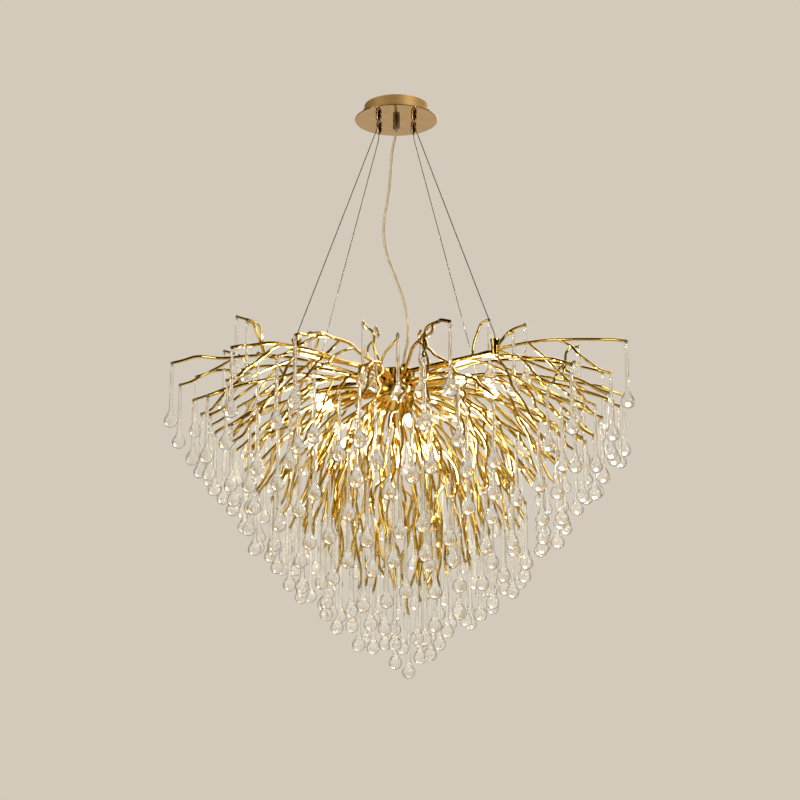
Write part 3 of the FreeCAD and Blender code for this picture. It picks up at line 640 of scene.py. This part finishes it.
def dress(frame: dict[str, Any], finish: Finish, *names: str) -> None:
    """Gives CAD nodes a finish.

    Args:
        finish: the finish to give.
        names: the nodes.
    """
    for name in names:
        node = frame["nodes"][name]
        if not node.material_slots:
            node.data.materials.append(finish.material())
        for slot in node.material_slots:
            slot.material = finish.material()


# ---------------------------------------------------------------- canopy


@dataclass
class Canopy:
    """The plate, pan, grippers and hidden fixings at the ceiling, which keep their CAD shapes."""

    frame: dict[str, Any]
    grippers: int = 4

    def build(self) -> None:
        """Dresses every canopy node."""
        plungers = [f"gripper_plunger_{number}" for number in range(1, self.grippers + 1)]
        dress(self.frame, Finishes.plate_gold, "canopy_plate")
        dress(self.frame, Finishes.pan_gold, "canopy_pan")
        dress(self.frame, Finishes.zinc, "ceiling_crossbar")
        dress(self.frame, Finishes.nylon, "terminal_block")
        dress(self.frame, Finishes.nickel, "pan_screws", "gripper_nuts", "cord_grip_nut")
        dress(self.frame, Finishes.pale_gold, "gripper_bodies", *plungers)
        dress(self.frame, Finishes.grip, "cord_grip")
        log.info("canopy: dressed")


# ---------------------------------------------------------------- cables and cord


class Lay(Enum):
    HANGING = "hanging"
    TAUT = "taut"


class Stiffness(Enum):
    MEDIUM = "medium"
    STIFF = "stiff"


@dataclass
class HangingLine:
    """A cable or cord that follows a given route."""

    name: str
    route: list[Triple]
    diameter: float
    exit: Triple
    length: float
    lay: Lay
    stiffness: Stiffness
    finish: Finish
    slot: str
    # how far the frame can rise
    lift: float = 0.2
    # steps between two points of the route; the tube has 4 + 2 x round_steps faces round it
    route_steps: int = 12
    round_steps: int = 3

    def spline(self) -> bpy.types.Object:
        """Draws the route as a curve.

        Returns:
            A NURBS curve object.
        """
        curve = bpy.data.curves.new(self.name, "CURVE")
        curve.dimensions = "3D"
        curve.resolution_u = self.route_steps
        spline = curve.splines.new("NURBS")
        spline.points.add(len(self.route) - 1)
        for point, place in zip(spline.points, self.route):
            point.co = (*place, 1.0)
        spline.order_u = 3
        spline.use_endpoint_u = True
        line = bpy.data.objects.new(self.name, curve)
        bpy.context.collection.objects.link(line)
        return line

    def build(self) -> None:
        line = self.spline()
        bpy.context.view_layer.update()
        thread = bpy.data.meshes.new_from_object(line)
        bpy.data.meshes.remove(thread)
        line.data.bevel_depth = self.diameter / 2
        line.data.bevel_resolution = self.round_steps
        line.data.use_fill_caps = True
        pick([line])
        bpy.ops.object.convert(target="MESH")
        tube = bpy.context.object
        tube.name = self.name + "_line"
        coat(tube, self.finish)
        bpy.ops.object.shade_smooth()
        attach(tube, "canopy")
        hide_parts(self.name)
        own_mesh(tube)


@dataclass
class Suspension:
    """Four taut steel cables and the slack power cord."""

    # how far from the middle the grippers stand, both ways, and the posts, sideways and in depth
    gripper: float = 0.038
    post_x: float = 0.190
    post_y: float = 0.250
    # heights of a cable's ends and of the bends next to them
    cable_top: float = -0.037
    cable_bend: float = -0.056
    cable_foot_bend: float = -0.5612
    cable_end: float = -0.5685
    # shares of the straight stretch at which its bends have ended
    straight: Pair = (0.03, 0.985)
    cable_diameter: float = 0.002
    cable_length: float = 0.594
    plunger_tip: float = -0.049
    cord_diameter: float = 0.006
    cord_length: float = 0.555
    cord_exit: Triple = (0.0, 0.0, -0.051)
    cord_route: list[Triple] = field(default_factory=lambda: [
        (0.0, 0.0, -0.034), (0.0, 0.0, -0.062), (-0.009, -0.001, -0.098), (-0.012, -0.004, -0.148),
        (-0.016, -0.002, -0.200), (-0.025, -0.001, -0.247), (-0.028, 0.001, -0.290),
        (-0.019, 0.003, -0.340), (0.001, 0.003, -0.388), (0.017, 0.001, -0.434),
        (0.026, -0.001, -0.484), (0.025, -0.001, -0.526), (0.016, 0.0, -0.558), (0.016, 0.0, -0.578)])

    def cable_route(self, side_x: int, side_y: int) -> list[Triple]:
        """One cable's points: down through its gripper, tight to the post and down into it.

        Args:
            side_x: -1 on the left, 1 on the right.
            side_y: -1 in front, 1 behind.

        Returns:
            The points, with two on the long straight stretch near its ends.
        """
        top = Vector((side_x * self.gripper, side_y * self.gripper, self.cable_bend))
        foot = Vector((side_x * self.post_x, side_y * self.post_y, self.cable_foot_bend))
        stretch = [top.lerp(foot, share) for share in self.straight]
        points = [Vector((top.x, top.y, self.cable_top)), top, *stretch, foot,
                  Vector((foot.x, foot.y, self.cable_end))]
        return [tuple(point) for point in points]

    def build(self) -> None:
        """Builds the cables in the order of the CAD nodes, then the cord."""
        sides = ((-1, -1), (1, -1), (1, 1), (-1, 1))
        for number, (side_x, side_y) in enumerate(sides, start=1):
            exit_point = (side_x * self.gripper, side_y * self.gripper, self.plunger_tip)
            HangingLine(f"suspension_cable_{number}", self.cable_route(side_x, side_y),
                        self.cable_diameter, exit_point, self.cable_length, Lay.TAUT,
                        Stiffness.STIFF, Finishes.rope, "cable_steel").build()
        HangingLine("power_cord", self.cord_route, self.cord_diameter, self.cord_exit,
                    self.cord_length, Lay.HANGING, Stiffness.MEDIUM, Finishes.cord,
                    "ivory_cord").build()


# ---------------------------------------------------------------- branches, drops and lamps


@dataclass
class Framework:
    """The hub, arms, posts and branches, which keep their CAD shapes."""

    frame: dict[str, Any]

    def build(self) -> None:
        """Dresses the metal of the frame."""
        branches = [f"branches_tier_{tier}" for tier in range(1, TIERS + 1)]
        dress(self.frame, Finishes.turned_gold, "hub_ball", "hub_cap", "hub_bolt", "cord_gland",
              "main_arms", "suspension_posts", "lamp_tubes", "lamp_holders")
        dress(self.frame, Finishes.rope, "cable_stops")
        dress(self.frame, Finishes.branch_gold, *branches)
        log.info("framework: dressed")


def hung_place(eye: Vector) -> Matrix:
    """Where a drop or a ring hangs: at its eye, turned to face away from the axis.

    Args:
        eye: the middle of its eye.

    Returns:
        The matrix that moves the pattern piece there.
    """
    return Matrix.Translation(eye) @ Matrix.Rotation(math.atan2(eye.y, eye.x) + math.pi / 2, 4, "Z")


@dataclass
class GlassDrops:
    """Every glass drop and the ring that it hangs from."""

    frame: dict[str, Any]
    # from the middle of the eye down to the lowest point of the ball
    length: float = 0.123
    ball_radius: float = 0.0135
    neck_radius: float = 0.030
    stem_radius: float = 0.0037
    # (radius, height) points where the stem's top closes up under the eye
    shoulder: tuple[Pair, ...] = ((0.0030, -0.0109), (0.00225, -0.0065), (0.0012, -0.0032), (0.0, -0.0028))
    eye_radius: float = 0.0027
    eye_thickness: float = 0.0015
    # the middle of the eye, below the top of the CAD node's bead
    bead_radius: float = 0.0042
    ring_radius: float = 0.0042
    ring_wire: float = 0.0005
    # faces round a drop, and steps over its ball and its neck
    sides: int = 12
    ball_steps: int = 6
    neck_steps: int = 3
    # faces round a torus and round its wire
    eye_faces: tuple[int, int] = (10, 5)
    ring_faces: tuple[int, int] = (12, 4)
    swinging: int = 8

    def drop_pattern(self) -> bpy.types.Object:
        """One drop about Z with the middle of its eye at the origin, the eye's hole along X.

        Returns:
            The drop, its eye fused on.
        """
        centre = self.ball_radius - self.length
        across = self.stem_radius + self.neck_radius
        rise = math.sqrt((self.ball_radius + self.neck_radius) ** 2 - across ** 2)
        meeting = math.degrees(math.atan2(rise, across))
        ball = arc((0, centre), self.ball_radius, -90, meeting, self.ball_steps)
        neck = arc((across, centre + rise), self.neck_radius, 180 + meeting, 180, self.neck_steps)
        profile = [(0.0, -self.length), *ball[1:], *neck[1:], *self.shoulder]
        drop = turned_piece("drop_pattern", profile, self.sides)
        bpy.ops.mesh.primitive_torus_add(
            major_radius=self.eye_radius, minor_radius=self.eye_thickness,
            major_segments=self.eye_faces[0], minor_segments=self.eye_faces[1],
            rotation=(0, math.pi / 2, 0))
        eye = bpy.context.object
        bpy.ops.object.transform_apply(location=True, rotation=True, scale=True)
        pick([drop])
        union = drop.modifiers.new("eye", "BOOLEAN")
        union.operation = "UNION"
        union.solver = "EXACT"
        union.object = eye
        bpy.ops.object.modifier_apply(modifier="eye")
        bpy.data.objects.remove(eye)
        bpy.ops.object.shade_smooth()
        coat(drop, Finishes.glass)
        return drop

    def ring_pattern(self) -> bpy.types.Object:
        """One wire ring that stands upright in the XZ plane.

        Returns:
            The ring.
        """
        clear_selection()
        bpy.ops.mesh.primitive_torus_add(
            major_radius=self.ring_radius, minor_radius=self.ring_wire,
            major_segments=self.ring_faces[0], minor_segments=self.ring_faces[1],
            rotation=(math.pi / 2, 0, 0))
        ring = bpy.context.object
        bpy.ops.object.transform_apply(location=True, rotation=True, scale=True)
        bpy.ops.object.shade_smooth()
        coat(ring, Finishes.turned_gold)
        return ring

    def hang_drops(self, drop: bpy.types.Object, node: str, body: str) -> None:
        """Hangs a drop at every solid of a CAD node.

        Args:
            drop: the pattern piece.
            node: the node it stands for.
            body: the body it rides on.
        """
        places = []
        for solid in solids_of(self.frame["nodes"][node]):
            eye = Vector((solid.middle.x, solid.middle.y, solid.high.z - self.bead_radius))
            places.append(hung_place(eye))
        piece = copies(drop, places, node + "_glass")
        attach(piece, body)
        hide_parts(node)
        log.info("%s: %d drops", node, len(places))

    def hang_rings(self, ring: bpy.types.Object, node: str) -> None:
        """Hangs a ring at every solid of a CAD node.

        Args:
            ring: the pattern piece.
            node: the node it stands for.
        """
        places = [hung_place(solid.middle) for solid in solids_of(self.frame["nodes"][node])]
        piece = copies(ring, places, node + "_wire")
        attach(piece, "frame")
        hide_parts(node)
        log.info("%s: %d rings", node, len(places))

    def build(self) -> None:
        """Builds all drops and rings, and removes the pattern pieces."""
        drop = self.drop_pattern()
        ring = self.ring_pattern()
        for tier in range(1, TIERS + 1):
            self.hang_drops(drop, f"drops_tier_{tier}", "frame")
        for number in range(1, self.swinging + 1):
            self.hang_drops(drop, f"rim_drop_{number}", f"rim_drop_{number}")
        for tier in range(1, TIERS, 2):
            self.hang_rings(ring, f"rings_tiers_{tier}_{tier + 1}")
        bpy.data.objects.remove(drop)
        bpy.data.objects.remove(ring)


@dataclass
class Lamps:
    """Small capsule lamps, aimed from the middle of the hub."""

    hub: Triple = (0.0, 0.0, -0.630)
    # how deep a lamp sits in its holder
    seat: float = 0.0117
    length: float = 0.042
    radius: float = 0.0075
    # the base: its foot's radius and bevel, its top, and the waist above it
    foot_radius: float = 0.00675
    foot_bevel: float = 0.0008
    base_top: float = 0.011
    waist_radius: float = 0.00645
    waist: Pair = (0.0125, 0.0135)
    waist_top: float = 0.0155
    nose_steps: int = 6
    sides: int = 20
    # azimuth and lean in degrees, and the distance from the hub to the holder's mouth in mm
    aims: tuple[Triple, ...] = (
        (336, 6, 140), (14, 0.5, 195), (64, 1.5, 165), (100, -4.5, 165), (153, -1.5, 165),
        (213, -15, 165), (280, -28, 165), (226, -40, 180), (304, -48, 175), (89, -42, 185))

    def pattern(self) -> bpy.types.Object:
        """One lamp along Z with its foot at the origin: waisted base, round nose.

        Returns:
            The lamp piece.
        """
        shoulder = self.length - self.radius
        nose = arc((0, shoulder), self.radius, 0, 90, self.nose_steps)
        profile = [
            (0.0, 0.0), (self.foot_radius, 0.0), (self.radius, self.foot_bevel),
            (self.radius, self.base_top), (self.waist_radius, self.waist[0]),
            (self.waist_radius, self.waist[1]), (self.radius, self.waist_top), *nose[:-1],
            (0.0, self.length)]
        lamp = turned_piece("lamp_pattern", profile, self.sides)
        coat(lamp, Finishes.lamp)
        return lamp

    def build(self) -> None:
        """Builds the lamps."""
        lamp = self.pattern()
        places = []
        for azimuth, lean, reach in self.aims:
            level = math.cos(math.radians(lean))
            heading = Vector((level * math.cos(math.radians(azimuth)),
                              level * math.sin(math.radians(azimuth)), math.sin(math.radians(lean))))
            foot = Vector(self.hub) + heading * (reach * MM - self.seat)
            places.append(Matrix.Translation(foot) @ heading.to_track_quat("Z", "Y").to_matrix().to_4x4())
        piece = copies(lamp, places, "lamp_capsules")
        bpy.data.objects.remove(lamp)
        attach(piece, "frame")
        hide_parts("lamps")
        log.info("lamps: %d", len(places))


# ---------------------------------------------------------------- studio


@dataclass(frozen=True)
class Softbox:
    """One soft square light."""

    name: str
    place: Triple
    side: float
    watts: float
    colour: str

    def hang(self, aim: Triple) -> None:
        """Hangs the light.

        Args:
            aim: the point that it faces.
        """
        light = bpy.data.lights.new(self.name, "AREA")
        light.size = self.side
        light.energy = self.watts
        light.color = linear(self.colour)[:3]
        box = bpy.data.objects.new(self.name, light)
        box.location = self.place
        toward = Vector(aim) - Vector(self.place)
        box.rotation_euler = toward.to_track_quat("-Z", "Y").to_euler()
        bpy.context.collection.objects.link(box)


@dataclass
class Surroundings:
    """The pale room: its plain light, and what camera, metal and glass see of it."""

    backdrop: str = "#D3CABC"
    light_colour: str = "#FFF8EE"
    plain_light: float = 0.55
    # painted reflection: a dark sheet that metal shows whole and glass faintly, where the camera sees the
    # pale backdrop
    flag: str = "#17120B"
    # degrees: the way to the middle of one side flag, the other being opposite
    flag_azimuth: float = -62.0
    # cosines of the angle from a side flag's middle at which it has faded out, and is whole
    flag_sides: Pair = (0.12, 0.34)
    # heights on the unit sphere at which the flags overhead and below start, and are whole
    flag_caps: Pair = (0.45, 0.75)
    caps_share: float = 0.85
    # the pale gap between the flags that the level canopy plate mirrors: the cosines of its soft edge
    gap_way: Triple = (0.0, 0.933, -0.36)
    gap_edge: Pair = (0.9, 0.97)
    flag_in_glass: float = 0.12
    # a ray with more glossy bounces than this comes from a reflection
    mirror_bounces: float = 0.5

    def flag_shape(self, tree: bpy.types.NodeTree, way: bpy.types.NodeSocket) -> bpy.types.NodeSocket:
        """Places the dark flags, painted reflections that the camera does not see: at two sides, overhead
        and below.

        Args:
            tree: the world's node tree.
            way: the socket that gives the way from the lamp.

        Returns:
            A socket that is 1 on a flag and 0 beside it.
        """
        turn = math.radians(self.flag_azimuth)
        heading = (math.cos(turn), math.sin(turn), 0.0)
        along = add_node(tree, "ShaderNodeVectorMath", {0: way, 1: heading}, operation="DOT_PRODUCT")
        either = add_node(tree, "ShaderNodeMath", {0: along.outputs["Value"]}, operation="ABSOLUTE")
        sides = add_node(tree, "ShaderNodeMapRange", {
            "Value": either.outputs["Value"], "From Min": self.flag_sides[0],
            "From Max": self.flag_sides[1]}, interpolation_type="SMOOTHSTEP")
        parts = add_node(tree, "ShaderNodeSeparateXYZ", {"Vector": way})
        height = add_node(tree, "ShaderNodeMath", {0: parts.outputs["Z"]}, operation="ABSOLUTE")
        caps = add_node(tree, "ShaderNodeMapRange", {
            "Value": height.outputs["Value"], "From Min": self.flag_caps[0],
            "From Max": self.flag_caps[1], "To Max": self.caps_share}, interpolation_type="SMOOTHSTEP")
        whole = add_node(tree, "ShaderNodeMath", {
            0: sides.outputs["Result"], 1: caps.outputs["Result"]}, operation="MAXIMUM")
        toward = add_node(tree, "ShaderNodeVectorMath", {0: way, 1: self.gap_way}, operation="DOT_PRODUCT")
        beside_gap = add_node(tree, "ShaderNodeMapRange", {
            "Value": toward.outputs["Value"], "From Min": self.gap_edge[0],
            "From Max": self.gap_edge[1], "To Min": 1.0, "To Max": 0.0}, interpolation_type="SMOOTHSTEP")
        shape = add_node(tree, "ShaderNodeMath", {
            0: whole.outputs["Value"], 1: beside_gap.outputs["Result"]}, operation="MULTIPLY")
        return shape.outputs["Value"]

    def flag_share(self, tree: bpy.types.NodeTree, ray: bpy.types.Node) -> bpy.types.NodeSocket:
        """Shows the flags whole in reflections, faintly through glass and not to the camera.

        Args:
            tree: the world's node tree.
            ray: the light path node.

        Returns:
            A socket with the share of the flags that a ray sees.
        """
        through = add_node(tree, "ShaderNodeMath", {
            0: ray.outputs["Is Transmission Ray"], 1: self.flag_in_glass}, operation="MULTIPLY")
        mirrored = add_node(tree, "ShaderNodeMath", {
            0: ray.outputs["Glossy Depth"], 1: self.mirror_bounces}, operation="GREATER_THAN")
        shown = add_node(tree, "ShaderNodeMath", {
            0: mirrored.outputs["Value"], 1: through.outputs["Value"]}, operation="MAXIMUM")
        return shown.outputs["Value"]

    def build(self) -> None:
        """Builds the world's nodes: plain light for matt surfaces, the room for what looks at it."""
        world = bpy.data.worlds.new("studio")
        bpy.context.scene.world = world
        world.use_nodes = True
        tree = world.node_tree
        tree.nodes.clear()
        way = add_node(tree, "ShaderNodeTexCoord").outputs["Generated"]
        ray = add_node(tree, "ShaderNodeLightPath")
        flags = add_node(tree, "ShaderNodeMath", {
            0: self.flag_shape(tree, way), 1: self.flag_share(tree, ray)}, operation="MULTIPLY")
        colour = add_node(tree, "ShaderNodeMix", {
            "Factor": flags.outputs["Value"], 6: linear(self.backdrop), 7: linear(self.flag)},
            data_type="RGBA")
        seen = add_node(tree, "ShaderNodeBackground", {"Color": colour.outputs[2], "Strength": 1.0})
        plain = add_node(tree, "ShaderNodeBackground", {
            "Color": linear(self.light_colour), "Strength": self.plain_light})
        shiny = add_node(tree, "ShaderNodeMath", {
            0: ray.outputs["Is Camera Ray"], 1: ray.outputs["Is Glossy Ray"]}, operation="MAXIMUM")
        direct = add_node(tree, "ShaderNodeMath", {
            0: shiny.outputs["Value"], 1: ray.outputs["Is Transmission Ray"]}, operation="MAXIMUM")
        both = add_node(tree, "ShaderNodeMixShader", {
            0: direct.outputs["Value"], 1: plain.outputs["Background"], 2: seen.outputs["Background"]})
        add_node(tree, "ShaderNodeOutputWorld", {"Surface": both.outputs["Shader"]})


@dataclass
class Studio:
    """The camera, the floor and the lights."""

    camera_place: Triple = (0.008, -2.504, -1.023)
    # degrees above the level
    camera_pitch: float = 8.5
    # mm, on a full-frame sensor
    lens: float = 54.0
    sensor: float = 36.0
    clip: Pair = (0.05, 60.0)
    floor_middle: Triple = (0.0, -0.5, -2.7)
    floor_side: float = 5.0
    floor_paint: str = "#EFE8DC"
    floor_roughness: float = 0.7
    # the point that the lights face, in the middle of the branches
    aim: Triple = (0.0, 0.0, -0.75)
    softboxes: tuple[Softbox, ...] = (
        Softbox("key", (1.9, -1.9, 0.4), 1.0, 24.0, "#FFF6E8"),
        Softbox("fill", (-2.3, -1.4, -0.6), 1.2, 10.0, "#FFF3E0"),
        Softbox("rim", (0.8, 1.9, 0.5), 1.2, 16.0, "#FFF8F0"))

    def place_camera(self) -> None:
        """Sets the camera where the photograph was taken from."""
        camera = bpy.data.cameras.new("camera")
        camera.lens = self.lens
        camera.sensor_width = self.sensor
        camera.clip_start, camera.clip_end = self.clip
        viewer = bpy.data.objects.new("camera", camera)
        viewer.location = self.camera_place
        viewer.rotation_euler = (math.radians(90 + self.camera_pitch), 0, 0)
        bpy.context.collection.objects.link(viewer)
        bpy.context.scene.camera = viewer

    def place_floor(self) -> None:
        """Lays a pale floor well below the lamp, where a room's floor would be."""
        clear_selection()
        bpy.ops.mesh.primitive_plane_add(size=self.floor_side, location=self.floor_middle)
        floor = bpy.context.object
        floor.name = "floor"
        material = bpy.data.materials.new("pale_floor")
        material.use_nodes = True
        shader = material.node_tree.nodes["Principled BSDF"]
        shader.inputs["Base Color"].default_value = linear(self.floor_paint)
        shader.inputs["Roughness"].default_value = self.floor_roughness
        floor.data.materials.append(material)

    def build(self) -> None:
        """Builds the whole studio."""
        self.place_camera()
        self.place_floor()
        Surroundings().build()
        for softbox in self.softboxes:
            softbox.hang(self.aim)
        bpy.context.scene.view_settings.view_transform = "Standard"
        log.info("studio: ready")


def main() -> None:
    """Loads the frame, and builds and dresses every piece."""
    logging.basicConfig(level=logging.INFO, format="%(name)s: %(message)s")
    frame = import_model()
    Canopy(frame).build()
    Framework(frame).build()
    Suspension().build()
    GlassDrops(frame).build()
    Lamps().build()
    Studio().build()


if __name__ == "__main__":
    main()
